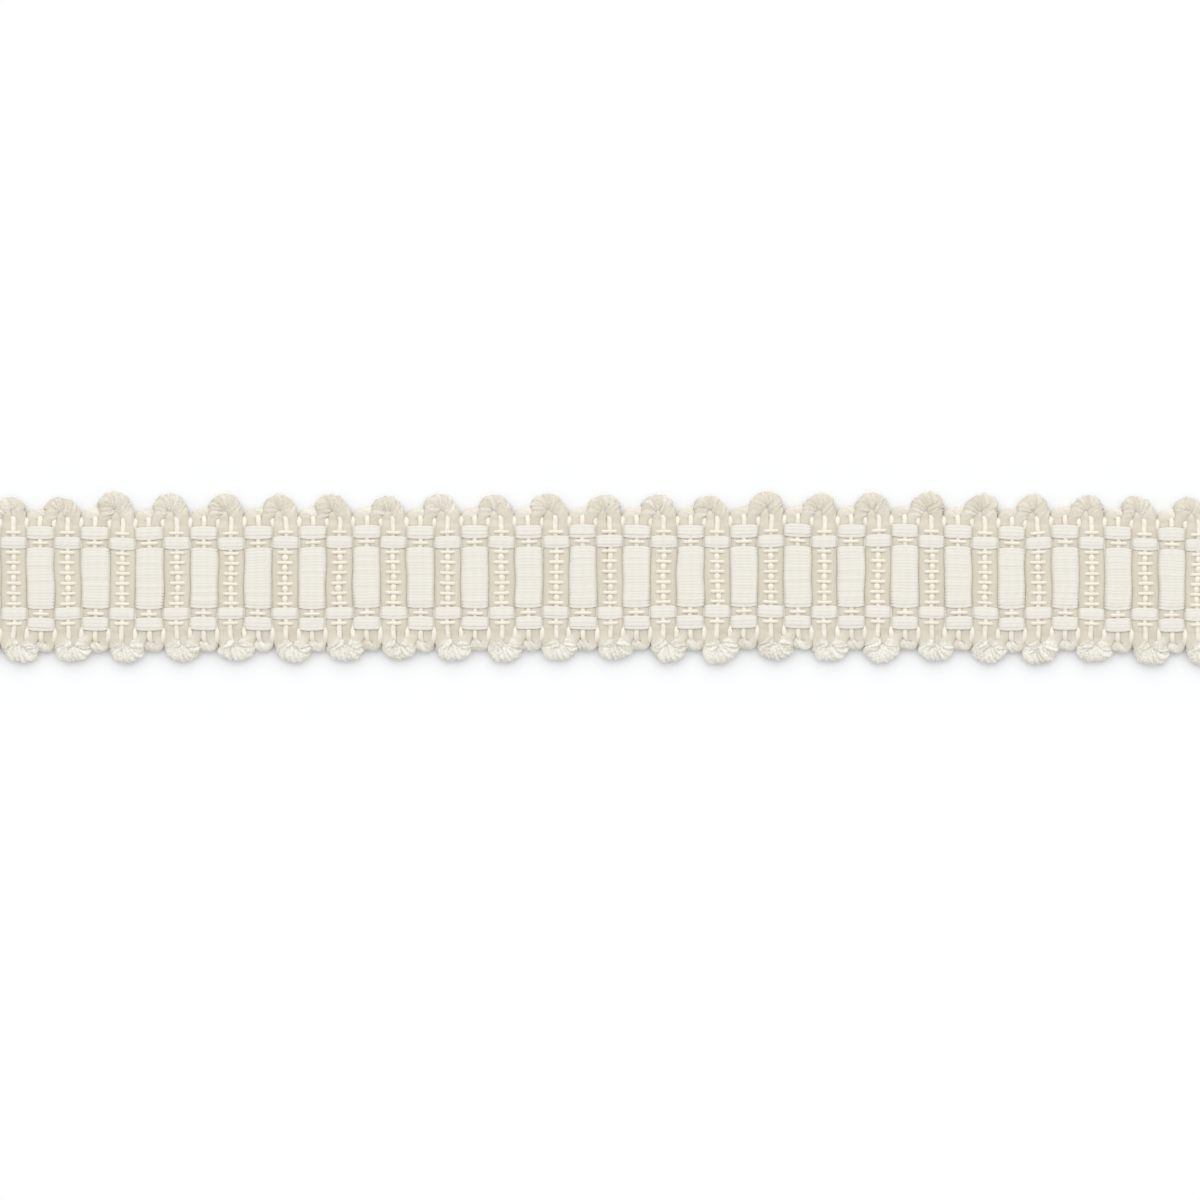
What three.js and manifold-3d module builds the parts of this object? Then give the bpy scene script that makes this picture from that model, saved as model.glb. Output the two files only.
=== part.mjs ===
// A cut length of narrow woven gimp trim, lying flat with its face up.
// Millimetres. +X runs along the trim, +Y across it to the far edge, +Z up from the surface it lies on.
// The origin is under the middle of the trim, on its underside.
//
// The ground is a woven band. Thick wefts cross it side by side, and its warps float over them in
// turn: a smooth panel, then a rib where the wefts are bare, with two rows of small blocks along each side.
// At both edges the thick wefts turn back in large loops, with a small flat turn between two loops.

import * as THREE from 'three';
import { mergeVertices } from 'three/addons/utils/BufferGeometryUtils.js';
import Module from 'manifold-3d';

// Driving dimensions
const REPEATS = 24;
const REPEAT_LENGTH = 5.06;
const REPEAT_EASE = -0.0029;
const RIB_WIDTH = 2.36;
const RIB_SLOPE = 0.2;
const BAND_WIDTH = 11.6;
const ROW_SLOPE = 0.18;
const EDGE_HEIGHT = 1;
const CROWN = 0.07;

const STRIP_GAP = 0.3;
const STRIP_WIDTH = 0.4;
const STRIP_UNDERSIDE = 0.08;
const STRIP_THICKNESS = 1.14;

const LOOP_CORD_RADIUS = 0.55;
const LOOP_HALF_WIDTH = 1.66;
const LOOP_HEIGHT_ABOVE_TABLE = STRIP_UNDERSIDE + STRIP_THICKNESS / 2;
const LOOP_SIDES = 5;
const LOOP_STEPS = 7;
const LOOP_POINTS = 9;
const TURN_HALF_WIDTH = 1.1;
const TURN_SHOULDER = 0.7;
const TURN_DROP = 0.1;

// The rows of the weave, from the mid-line to the edge: where each begins and ends, and how high its surface
// lies over a rib and over a panel.
const ROWS = [
  { name: 'ladder and panel', from: 0, to: 2.8, overRib: 1.2, overPanel: 1.4 },
  { name: 'inner blocks', from: 2.8, to: 3.8, overRib: 1.4, overPanel: 1.02 },
  { name: 'outer blocks', from: 3.8, to: 4.9, overRib: 1.06, overPanel: 1.4 },
  { name: 'bare wefts', from: 4.9, to: BAND_WIDTH / 2, overRib: 1.1, overPanel: 1.1 },
];

// The two looped edges: the side of the mid-line, how far along from the rib the loop and the small turn
// stand, and how far out the small turn reaches.
const EDGES = [
  { node: 'loop_edge_far', side: 1, loopAlong: -0.6, turnAlong: 1.95, turnReach: 6.6 },
  { node: 'loop_edge_near', side: -1, loopAlong: 0.55, turnAlong: 3.05, turnReach: 6.85 },
];

// The loops, a row for each repeat from the left: how far each tip reaches from the mid-line, and how far it
// leans along the trim.
const LOOPS = [
  { farReach: 7.9, farLean: -0.2, nearReach: 7.95, nearLean: 0 },
  { farReach: 7.75, farLean: 0.1, nearReach: 7.9, nearLean: 0.25 },
  { farReach: 7.75, farLean: -0.45, nearReach: 7.9, nearLean: 0 },
  { farReach: 8.2, farLean: -0.4, nearReach: 7.95, nearLean: -0.1 },
  { farReach: 8.05, farLean: -0.3, nearReach: 7.95, nearLean: 0.15 },
  { farReach: 7.95, farLean: -0.05, nearReach: 7.8, nearLean: -0.05 },
  { farReach: 7.9, farLean: -0.25, nearReach: 8, nearLean: 0.3 },
  { farReach: 7.9, farLean: -0.4, nearReach: 7.95, nearLean: -0.05 },
  { farReach: 7.7, farLean: -0.25, nearReach: 7.85, nearLean: -0.15 },
  { farReach: 7.95, farLean: -0.4, nearReach: 7.95, nearLean: 0 },
  { farReach: 7.85, farLean: -0.35, nearReach: 8, nearLean: -0.4 },
  { farReach: 7.85, farLean: -0.35, nearReach: 7.9, nearLean: -0.2 },
  { farReach: 7.85, farLean: 0.05, nearReach: 7.8, nearLean: 0 },
  { farReach: 7.85, farLean: -0.1, nearReach: 8.05, nearLean: 0.1 },
  { farReach: 7.7, farLean: -0.45, nearReach: 8.1, nearLean: -0.35 },
  { farReach: 8, farLean: 0.05, nearReach: 8, nearLean: -0.15 },
  { farReach: 7.85, farLean: -0.05, nearReach: 8.05, nearLean: 0 },
  { farReach: 7.9, farLean: -0.2, nearReach: 8.25, nearLean: -0.35 },
  { farReach: 7.95, farLean: 0.2, nearReach: 7.85, nearLean: -0.1 },
  { farReach: 7.9, farLean: 0.35, nearReach: 8, nearLean: -0.15 },
  { farReach: 7.95, farLean: -0.1, nearReach: 8.2, nearLean: -0.6 },
  { farReach: 7.85, farLean: 0.2, nearReach: 7.9, nearLean: -0.5 },
  { farReach: 7.9, farLean: -0.5, nearReach: 8, nearLean: 0.2 },
  { farReach: 7.85, farLean: -0.4, nearReach: 8.05, nearLean: 0 },
];

// How the trim wanders as it lies: the mid-line's place across, at a few places along it.
const WANDER = [
  { along: -60.8, across: -0.06 },
  { along: -42, across: -0.08 },
  { along: -12, across: 0.02 },
  { along: 23, across: 0.13 },
  { along: 48, across: -0.07 },
  { along: 60.8, across: -0.22 },
];

const HALF_COUNT = REPEATS / 2;
const BAND_EDGE = BAND_WIDTH / 2;
const STRIP_INNER = BAND_EDGE + STRIP_GAP;
const STRIP_OUTER = STRIP_INNER + STRIP_WIDTH;
const STRIP_MIDDLE = (STRIP_INNER + STRIP_OUTER) / 2;
const MERGE_DISTANCE = 1e-4;

// Materials

const matteCotton = new THREE.MeshStandardMaterial({ color: 0xebe8de, roughness: 0.9, metalness: 0 });
const softCord = new THREE.MeshStandardMaterial({ color: 0xded6c4, roughness: 0.65, metalness: 0 });

// The place along the trim of a point given in repeats from its middle. The repeats grow a little
// shorter from left to right.
function placeAlong(repeatsFromMiddle) {
  const ease = repeatsFromMiddle * repeatsFromMiddle - HALF_COUNT * HALF_COUNT;
  return REPEAT_LENGTH * repeatsFromMiddle + REPEAT_EASE * ease;
}

function ribPlace(index) {
  return placeAlong(index + 0.5 - HALF_COUNT);
}

// The mid-line's place across at a place along the trim, eased from one row of WANDER to the next.
function wander(along) {
  const last = WANDER.length - 1;
  let next = WANDER.findIndex((row) => row.along >= along);
  next = next < 0 ? last : Math.max(next, 1);
  const start = WANDER[next - 1];
  const end = WANDER[next];
  const share = THREE.MathUtils.smoothstep(along, start.along, end.along);
  return THREE.MathUtils.lerp(start.across, end.across, share);
}

// Moves a finished mesh's points across with the wandering mid-line.
function layAsItLies(geometry) {
  const position = geometry.getAttribute('position');
  for (let i = 0; i < position.count; i += 1) {
    position.setY(i, position.getY(i) + wander(position.getX(i)));
  }
  geometry.computeVertexNormals();
  return geometry;
}

// The woven band

// Columns of points along the trim: the middle and both sides of each slope of a rib, and the middle
// and ends of each panel. overRib says which height of a row the column takes.
function bandColumns() {
  const columns = [{ x: placeAlong(-HALF_COUNT), overRib: 0, crown: 1 }];
  for (let i = 0; i < REPEATS; i += 1) {
    const rib = ribPlace(i);
    const foot = RIB_WIDTH / 2;
    const shoulder = foot + RIB_SLOPE;
    columns.push({ x: rib - shoulder, overRib: 0, crown: 0 });
    columns.push({ x: rib - foot, overRib: 1, crown: 0 });
    columns.push({ x: rib, overRib: 1, crown: 1 });
    columns.push({ x: rib + foot, overRib: 1, crown: 0 });
    columns.push({ x: rib + shoulder, overRib: 0, crown: 0 });
    columns.push({ x: placeAlong(i + 1 - HALF_COUNT), overRib: 0, crown: 1 });
  }
  return columns;
}

// Rows of points across the trim: both ends of each row of the weave, drawn in by half a slope, and
// the low edge. The first row of the weave runs across the mid-line, so it has no inner end.
function bandRows() {
  const half = [];
  for (const row of ROWS) {
    if (row.from > 0) {
      half.push({ y: row.from + ROW_SLOPE / 2, row });
    }
    half.push({ y: row.to - ROW_SLOPE / 2, row });
  }
  half.push({ y: BAND_EDGE, row: null });
  const mirrored = half.map(({ y, row }) => ({ y: -y, row })).reverse();
  return [...mirrored, ...half];
}

function bandHeight(column, row) {
  if (row === null) {
    return EDGE_HEIGHT;
  }
  const height = THREE.MathUtils.lerp(row.overPanel, row.overRib, column.overRib);
  return height + CROWN * column.crown;
}

// One closed sheet: the relief on top, a flat underside between the two edges, and upright sides.
// Each end is closed with uprights under its points, and the underside fans out to them.
function wovenBandGeometry() {
  const columns = bandColumns();
  const rows = bandRows();
  const points = [];
  const triangles = [];
  const add = (x, y, z) => points.push(x, y, z) / 3 - 1;
  const quad = (a, b, c, d) => triangles.push(a, b, c, a, c, d);

  const top = columns.map((column) => rows.map(({ y, row }) => add(column.x, y, bandHeight(column, row))));
  const lastColumn = columns.length - 1;
  const lastRow = rows.length - 1;
  for (let i = 0; i < lastColumn; i += 1) {
    for (let j = 0; j < lastRow; j += 1) {
      quad(top[i][j], top[i + 1][j], top[i + 1][j + 1], top[i][j + 1]);
    }
  }

  const near = columns.map(({ x }) => add(x, rows[0].y, 0));
  const far = columns.map(({ x }) => add(x, rows[lastRow].y, 0));
  for (let i = 0; i < lastColumn; i += 1) {
    quad(near[i], near[i + 1], top[i + 1][0], top[i][0]);
    quad(far[i + 1], far[i], top[i][lastRow], top[i + 1][lastRow]);
  }
  for (let i = 1; i < lastColumn - 1; i += 1) {
    quad(near[i], far[i], far[i + 1], near[i + 1]);
  }

  const middle = Math.floor(lastRow / 2);
  for (const [end, inner, turned] of [[0, 1, false], [lastColumn, lastColumn - 1, true]]) {
    const foot = rows.map(({ y }, j) => {
      if (j === 0) {
        return near[end];
      }
      return j === lastRow ? far[end] : add(columns[end].x, y, 0);
    });
    const face = (a, b, c) => (turned ? triangles.push(a, c, b) : triangles.push(a, b, c));
    for (let j = 0; j < lastRow; j += 1) {
      face(foot[j], top[end][j], top[end][j + 1]);
      face(foot[j], top[end][j + 1], foot[j + 1]);
      face(foot[j], foot[j + 1], j < middle ? near[inner] : far[inner]);
    }
    face(near[inner], foot[middle], far[inner]);
  }

  const geometry = new THREE.BufferGeometry();
  geometry.setAttribute('position', new THREE.Float32BufferAttribute(points, 3));
  geometry.setIndex(triangles);
  return geometry;
}

// The looped edges

// A faceted cord round the curve through the points, with closed ends.
function cordGeometry(points) {
  const corners = [];
  for (let i = 0; i < LOOP_SIDES; i += 1) {
    const angle = (2 * Math.PI * i) / LOOP_SIDES;
    corners.push(new THREE.Vector2(Math.cos(angle), Math.sin(angle)).multiplyScalar(LOOP_CORD_RADIUS));
  }
  const path = new THREE.CatmullRomCurve3(points);
  return new THREE.ExtrudeGeometry(new THREE.Shape(corners), { steps: LOOP_STEPS, extrudePath: path });
}

// The middle line of a loop: out of the middle of the strip, round its tip and back, in the plane of
// the trim.
function loopPoints(place, side, reach, lean) {
  const halfWidth = LOOP_HALF_WIDTH - LOOP_CORD_RADIUS;
  const rise = reach - LOOP_CORD_RADIUS - STRIP_MIDDLE;
  const points = [];
  for (let i = 0; i < LOOP_POINTS; i += 1) {
    const angle = Math.PI * (1 - i / (LOOP_POINTS - 1));
    const x = place + halfWidth * Math.cos(angle) + lean * Math.sin(angle);
    const y = STRIP_MIDDLE + rise * Math.sin(angle);
    points.push(new THREE.Vector3(x, side * y, LOOP_HEIGHT_ABOVE_TABLE));
  }
  return points;
}

// The strip under the roots, straight along the band and scalloped outside by the small turns. The last
// small turn is left out where it would pass the cut end.
function stripGeometry({ side, turnAlong, turnReach }) {
  const start = placeAlong(-HALF_COUNT);
  const end = placeAlong(HALF_COUNT);
  const outer = [[start, STRIP_OUTER]];
  for (let i = 0; i < REPEATS; i += 1) {
    const turn = ribPlace(i) + turnAlong;
    if (turn + TURN_HALF_WIDTH < end) {
      outer.push([turn - TURN_HALF_WIDTH, STRIP_OUTER]);
      outer.push([turn - TURN_SHOULDER, turnReach - TURN_DROP]);
      outer.push([turn, turnReach]);
      outer.push([turn + TURN_SHOULDER, turnReach - TURN_DROP]);
      outer.push([turn + TURN_HALF_WIDTH, STRIP_OUTER]);
    }
  }
  outer.push([end, STRIP_OUTER]);
  const inner = outer.map(([x]) => [x, STRIP_INNER]).reverse();
  const corners = [...outer, ...inner].map(([x, y]) => new THREE.Vector2(x, side * y));
  const outline = new THREE.Shape(corners);
  const geometry = new THREE.ExtrudeGeometry(outline, { depth: STRIP_THICKNESS, bevelEnabled: false });
  geometry.translate(0, 0, STRIP_UNDERSIDE);
  return geometry;
}

const wasm = await Module();
wasm.setup();

function toSolid(geometry) {
  const bare = geometry.clone();
  bare.deleteAttribute('normal');
  bare.deleteAttribute('uv');
  const merged = mergeVertices(bare, MERGE_DISTANCE);
  const vertProperties = new Float32Array(merged.getAttribute('position').array);
  const triVerts = new Uint32Array(merged.getIndex().array);
  return new wasm.Manifold(new wasm.Mesh({ numProp: 3, vertProperties, triVerts }));
}

function toGeometry(solid) {
  const mesh = solid.getMesh();
  const geometry = new THREE.BufferGeometry();
  geometry.setAttribute('position', new THREE.BufferAttribute(new Float32Array(mesh.vertProperties), 3));
  geometry.setIndex(new THREE.BufferAttribute(new Uint32Array(mesh.triVerts), 1));
  return geometry;
}

// One edge: every loop fused to the strip that carries its roots.
function loopedEdgeGeometry(edge) {
  let solid = toSolid(stripGeometry(edge));
  LOOPS.forEach((loop, i) => {
    const reach = edge.side > 0 ? loop.farReach : loop.nearReach;
    const lean = edge.side > 0 ? loop.farLean : loop.nearLean;
    const points = loopPoints(ribPlace(i) + edge.loopAlong, edge.side, reach, lean);
    solid = solid.add(toSolid(cordGeometry(points)));
  });
  return toGeometry(solid);
}

// The whole length

const trim = new THREE.Group();
trim.name = 'gimp_trim_length';

function addPiece(name, geometry, material) {
  const piece = new THREE.Mesh(layAsItLies(geometry), material);
  piece.name = name;
  trim.add(piece);
}

addPiece('woven_band', wovenBandGeometry(), matteCotton);
for (const edge of EDGES) {
  addPiece(edge.node, loopedEdgeGeometry(edge), softCord);
}

export default trim;
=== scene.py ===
"""A cut length of woven gimp trim, yarn by yarn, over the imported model.

Metres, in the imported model's frame: +X runs along the trim, +Y across it to the far edge, and +Z up from
the floor. Every yarn is an oval carried along a centre line. The centre lines follow the weave: eight picks
to a repeat, thick and thin in turn, with the warps floating over five picks and passing under three, and the
thick wefts turning back in large loops at both edges.
"""

import math
from typing import NamedTuple

import bpy
import numpy as np
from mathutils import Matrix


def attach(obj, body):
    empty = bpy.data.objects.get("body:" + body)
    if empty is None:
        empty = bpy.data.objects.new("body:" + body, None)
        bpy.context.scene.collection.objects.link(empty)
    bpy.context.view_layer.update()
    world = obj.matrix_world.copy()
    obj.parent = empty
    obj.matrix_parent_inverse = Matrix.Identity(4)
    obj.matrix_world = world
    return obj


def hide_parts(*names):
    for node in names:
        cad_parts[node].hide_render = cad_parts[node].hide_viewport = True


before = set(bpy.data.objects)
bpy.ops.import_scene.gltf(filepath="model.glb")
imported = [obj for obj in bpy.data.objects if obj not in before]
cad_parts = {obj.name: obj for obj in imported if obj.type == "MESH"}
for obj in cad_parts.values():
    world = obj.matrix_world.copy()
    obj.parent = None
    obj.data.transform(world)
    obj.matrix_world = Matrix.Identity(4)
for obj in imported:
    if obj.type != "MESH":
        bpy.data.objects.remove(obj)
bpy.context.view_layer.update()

bl_info = {
    "name": "Woven gimp trim",
    "version": (1, 0, 0),
    "blender": (4, 5, 0),
    "location": "3D View > Sidebar > Gimp trim",
    "description": "A cut length of woven gimp trim with looped edges, made yarn by yarn",
    "category": "Object",
}

MM = 0.001
BODY = "root"
BAND = "woven_band"
FAR_EDGE = "loop_edge_far"
NEAR_EDGE = "loop_edge_near"

# The repeats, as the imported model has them: their number, their length, and how they shorten to the right
REPEATS = 24
REPEAT = 5.06 * MM
REPEAT_EASE = -0.0029 * MM

# The ribs' places, in repeats from the trim's middle
HALF_COUNT = REPEATS / 2
RIBS = np.arange(REPEATS) + 0.5 - HALF_COUNT

# How the trim wanders as it lies: the mid-line's place across, at a few places along it
WANDER_ALONG = np.array([-60.8, -42.0, -12.0, 23.0, 48.0, 60.8]) * MM
WANDER_ACROSS = np.array([-0.06, -0.08, 0.02, 0.13, -0.07, -0.22]) * MM


class Loop(NamedTuple):
    """The two large loops of a repeat, in millimetres: how far each tip reaches across, and how far it leans
    along the trim."""

    far_reach: float
    far_lean: float
    near_reach: float
    near_lean: float


# A row for each repeat, from the left
LOOPS = [
    Loop(7.9, -0.2, 7.95, 0.0),
    Loop(7.75, 0.1, 7.9, 0.25),
    Loop(7.75, -0.45, 7.9, 0.0),
    Loop(8.2, -0.4, 7.95, -0.1),
    Loop(8.05, -0.3, 7.95, 0.15),
    Loop(7.95, -0.05, 7.8, -0.05),
    Loop(7.9, -0.25, 8.0, 0.3),
    Loop(7.9, -0.4, 7.95, -0.05),
    Loop(7.7, -0.25, 7.85, -0.15),
    Loop(7.95, -0.4, 7.95, 0.0),
    Loop(7.85, -0.35, 8.0, -0.4),
    Loop(7.85, -0.35, 7.9, -0.2),
    Loop(7.85, 0.05, 7.8, 0.0),
    Loop(7.85, -0.1, 8.05, 0.1),
    Loop(7.7, -0.45, 8.1, -0.35),
    Loop(8.0, 0.05, 8.0, -0.15),
    Loop(7.85, -0.05, 8.05, 0.0),
    Loop(7.9, -0.2, 8.25, -0.35),
    Loop(7.95, 0.2, 7.85, -0.1),
    Loop(7.9, 0.35, 8.0, -0.15),
    Loop(7.95, -0.1, 8.2, -0.6),
    Loop(7.85, 0.2, 7.9, -0.5),
    Loop(7.9, -0.5, 8.0, 0.2),
    Loop(7.85, -0.4, 8.05, 0.0),
]
# The loops of each edge, as rows of reach and lean, and loops that stay just where the stops below put them
FAR_LOOPS = np.array([(loop.far_reach, loop.far_lean) for loop in LOOPS])
NEAR_LOOPS = np.array([(loop.near_reach, loop.near_lean) for loop in LOOPS])
MEAN_REACH = 7.92
EVEN_LOOPS = np.full((REPEATS, 2), (MEAN_REACH, 0.0))


class Stop(NamedTuple):
    """One place on a weft's route through a repeat.

    along is measured from the rib and across from the mid-line, in millimetres, and so are the centre's
    height and the cord's half width and half height. relaxed is how far the cord has opened out of the weave,
    from 0 to 1. pale is a painted highlight, from 0 to 1: how much paler the cord is painted where the light
    catches it. tip is the share of the loop's own reach and lean that moves the stop, and rings the number of
    rings from here to the next stop.
    """

    along: float
    across: float
    height: float
    half_width: float
    half_height: float
    relaxed: float
    pale: float
    tip: float
    rings: int


# Thick weft one: up the first pick, round the large loop of the far edge, down the third pick, and round the
# small turn of the near edge, which passes under the near edge's large loop. Its pale column paints a faint
# highlight, mostly on the small turn
THICK_WEFT_ONE = [
    Stop(-1.90, -4.70, 0.69, 0.59, 0.44, 0.0, 0.0, 0.0, 22),
    Stop(-1.90, 4.70, 0.69, 0.59, 0.44, 0.0, 0.0, 0.0, 3),
    Stop(-1.90, 5.05, 0.70, 0.53, 0.42, 0.0, 0.0, 0.0, 3),
    Stop(-1.84, 5.45, 0.72, 0.52, 0.40, 0.2, 0.0, 0.0, 5),
    Stop(-1.58, 5.92, 0.74, 0.62, 0.42, 0.6, 0.1, 0.1, 7),
    Stop(-1.34, 6.32, 0.68, 0.86, 0.45, 0.9, 0.1, 0.3, 8),
    Stop(-1.12, 6.62, 0.60, 0.92, 0.46, 1.0, 0.0, 0.7, 8),
    Stop(-0.86, 6.80, 0.54, 0.99, 0.46, 1.0, 0.0, 0.9, 8),
    Stop(-0.43, 6.86, 0.53, 1.04, 0.46, 1.0, 0.0, 1.0, 8),
    Stop(-0.02, 6.80, 0.54, 0.99, 0.46, 1.0, 0.0, 0.9, 8),
    Stop(0.15, 6.62, 0.60, 0.92, 0.46, 1.0, 0.0, 0.7, 8),
    Stop(0.27, 6.32, 0.68, 0.84, 0.45, 0.9, 0.1, 0.3, 7),
    Stop(0.46, 5.92, 0.74, 0.71, 0.42, 0.6, 0.1, 0.1, 5),
    Stop(0.61, 5.45, 0.71, 0.57, 0.41, 0.2, 0.0, 0.0, 3),
    Stop(0.63, 5.05, 0.70, 0.53, 0.42, 0.0, 0.0, 0.0, 3),
    Stop(0.63, 4.70, 0.69, 0.59, 0.44, 0.0, 0.0, 0.0, 22),
    Stop(0.63, -4.70, 0.69, 0.59, 0.44, 0.0, 0.0, 0.0, 3),
    Stop(0.63, -5.05, 0.68, 0.53, 0.42, 0.0, 0.0, 0.0, 3),
    Stop(0.65, -5.45, 0.62, 0.52, 0.40, 0.0, 0.0, 0.0, 4),
    Stop(0.72, -5.96, 0.58, 0.60, 0.42, 0.1, 0.1, 0.0, 4),
    Stop(1.45, -6.22, 0.36, 0.54, 0.32, 0.3, 0.2, 0.0, 5),
    Stop(2.25, -6.24, 0.50, 0.60, 0.42, 0.7, 0.4, 0.0, 5),
    Stop(3.14, -6.28, 0.54, 0.66, 0.42, 0.6, 0.4, 0.0, 5),
    Stop(3.32, -5.92, 0.56, 0.66, 0.42, 0.3, 0.2, 0.0, 4),
    Stop(3.19, -5.40, 0.62, 0.55, 0.42, 0.0, 0.0, 0.0, 3),
    Stop(3.16, -5.05, 0.67, 0.54, 0.42, 0.0, 0.0, 0.0, 3),
]

# Thick weft two: down the second pick, round the large loop of the near edge, up the fourth pick, and round
# the small turn of the far edge. Its pale column paints a strong highlight on the near edge's large loop and
# a fainter one on the small turn
THICK_WEFT_TWO = [
    Stop(-0.63, 4.70, 0.69, 0.59, 0.44, 0.0, 0.0, 0.0, 22),
    Stop(-0.63, -4.70, 0.69, 0.59, 0.44, 0.0, 0.0, 0.0, 3),
    Stop(-0.63, -5.05, 0.70, 0.53, 0.42, 0.0, 0.0, 0.0, 3),
    Stop(-0.62, -5.45, 0.72, 0.57, 0.41, 0.0, 0.0, 0.0, 5),
    Stop(-0.54, -5.86, 0.72, 0.72, 0.44, 0.4, 0.15, 0.1, 6),
    Stop(-0.36, -6.20, 0.68, 0.91, 0.47, 0.9, 0.9, 0.3, 8),
    Stop(-0.28, -6.58, 0.60, 0.95, 0.48, 1.0, 1.0, 0.6, 8),
    Stop(-0.06, -6.82, 0.56, 0.99, 0.48, 1.0, 1.0, 0.9, 8),
    Stop(0.50, -6.90, 0.54, 1.02, 0.48, 1.0, 1.0, 1.0, 8),
    Stop(1.06, -6.82, 0.56, 0.99, 0.48, 1.0, 1.0, 0.9, 8),
    Stop(1.34, -6.58, 0.60, 0.95, 0.48, 1.0, 1.0, 0.6, 8),
    Stop(1.43, -6.20, 0.70, 0.86, 0.47, 0.9, 0.9, 0.3, 7),
    Stop(1.62, -5.86, 0.74, 0.60, 0.42, 0.4, 0.15, 0.1, 5),
    Stop(1.87, -5.45, 0.72, 0.53, 0.40, 0.0, 0.0, 0.0, 3),
    Stop(1.90, -5.05, 0.70, 0.53, 0.42, 0.0, 0.0, 0.0, 3),
    Stop(1.90, -4.70, 0.69, 0.59, 0.44, 0.0, 0.0, 0.0, 22),
    Stop(1.90, 4.70, 0.69, 0.59, 0.44, 0.0, 0.0, 0.0, 3),
    Stop(1.90, 5.02, 0.66, 0.53, 0.42, 0.0, 0.0, 0.0, 3),
    Stop(1.88, 5.35, 0.60, 0.62, 0.42, 0.0, 0.0, 0.0, 4),
    Stop(1.90, 5.74, 0.58, 0.74, 0.42, 0.2, 0.1, 0.0, 4),
    Stop(2.36, 6.00, 0.56, 0.62, 0.42, 0.6, 0.3, 0.0, 5),
    Stop(3.00, 6.12, 0.46, 0.54, 0.38, 0.5, 0.3, 0.0, 5),
    Stop(3.78, 6.06, 0.42, 0.54, 0.36, 0.2, 0.1, 0.0, 4),
    Stop(4.36, 5.90, 0.60, 0.62, 0.42, 0.1, 0.0, 0.0, 3),
    Stop(4.41, 5.35, 0.60, 0.52, 0.41, 0.0, 0.0, 0.0, 3),
    Stop(4.43, 5.02, 0.67, 0.54, 0.42, 0.0, 0.0, 0.0, 3),
]

# The thin weft: a pick beside each thick one. It turns round the picks of thick weft two at the far edge and
# round those of thick weft one at the near edge, sunk in among the thick cords. Between a rib and a panel it
# lies deep, where both groups of warps dive
THIN_WEFT = [
    Stop(-1.25, -4.98, 0.97, 0.26, 0.18, 0.0, 0.0, 0.0, 4),
    Stop(-1.265, -4.55, 0.76, 0.20, 0.17, 0.0, 0.0, 0.0, 24),
    Stop(-1.265, 4.55, 0.76, 0.20, 0.17, 0.0, 0.0, 0.0, 4),
    Stop(-1.25, 4.98, 0.94, 0.24, 0.18, 0.0, 0.0, 0.0, 4),
    Stop(-1.265, 5.42, 0.90, 0.24, 0.18, 0.0, 0.0, 0.0, 4),
    Stop(-1.20, 5.78, 0.60, 0.22, 0.17, 0.9, 0.0, 0.0, 4),
    Stop(-0.63, 6.06, 0.52, 0.24, 0.16, 1.0, 0.0, 0.0, 4),
    Stop(-0.10, 5.88, 0.76, 0.24, 0.17, 0.9, 0.0, 0.0, 4),
    Stop(0.00, 5.60, 0.96, 0.27, 0.19, 0.4, 0.0, 0.0, 4),
    Stop(0.00, 4.90, 0.99, 0.27, 0.20, 0.0, 0.0, 0.0, 60),
    Stop(0.00, -4.90, 0.99, 0.27, 0.20, 0.0, 0.0, 0.0, 4),
    Stop(0.00, -5.58, 0.96, 0.27, 0.19, 0.4, 0.0, 0.0, 4),
    Stop(0.10, -5.84, 0.76, 0.24, 0.17, 0.9, 0.0, 0.0, 4),
    Stop(0.63, -5.98, 0.52, 0.24, 0.16, 1.0, 0.0, 0.0, 4),
    Stop(1.16, -5.84, 0.76, 0.24, 0.17, 0.9, 0.0, 0.0, 4),
    Stop(1.25, -5.58, 0.96, 0.26, 0.18, 0.4, 0.0, 0.0, 4),
    Stop(1.25, -4.98, 0.97, 0.26, 0.18, 0.0, 0.0, 0.0, 4),
    Stop(1.265, -4.55, 0.76, 0.20, 0.17, 0.0, 0.0, 0.0, 24),
    Stop(1.265, 4.55, 0.76, 0.20, 0.17, 0.0, 0.0, 0.0, 4),
    Stop(1.25, 4.98, 0.94, 0.24, 0.18, 0.0, 0.0, 0.0, 4),
    Stop(1.265, 5.42, 0.90, 0.24, 0.18, 0.0, 0.0, 0.0, 4),
    Stop(1.38, 5.80, 0.52, 0.22, 0.17, 0.9, 0.0, 0.0, 4),
    Stop(1.80, 6.08, 0.44, 0.24, 0.18, 1.0, 0.0, 0.0, 4),
    Stop(2.35, 5.96, 0.56, 0.24, 0.18, 0.9, 0.0, 0.0, 4),
    Stop(2.52, 5.62, 0.92, 0.26, 0.19, 0.4, 0.0, 0.0, 4),
    Stop(2.53, 5.00, 0.98, 0.27, 0.20, 0.0, 0.0, 0.0, 30),
    Stop(2.53, -5.00, 0.98, 0.27, 0.20, 0.0, 0.0, 0.0, 4),
    Stop(2.54, -5.58, 0.94, 0.26, 0.19, 0.4, 0.0, 0.0, 4),
    Stop(2.68, -5.95, 0.72, 0.24, 0.17, 0.9, 0.0, 0.0, 4),
    Stop(3.22, -6.28, 0.54, 0.28, 0.20, 1.0, 0.0, 0.0, 4),
    Stop(3.64, -6.06, 0.66, 0.28, 0.20, 0.9, 0.0, 0.0, 4),
    Stop(3.80, -5.58, 0.95, 0.26, 0.18, 0.4, 0.0, 0.0, 4),
]

# How many stops at the end of each route belong to a turn that would pass the cut end, and are left out there
TURN_STOPS_ONE = 6
TURN_STOPS_TWO = 8
TURN_STOPS_THIN = 5

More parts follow.
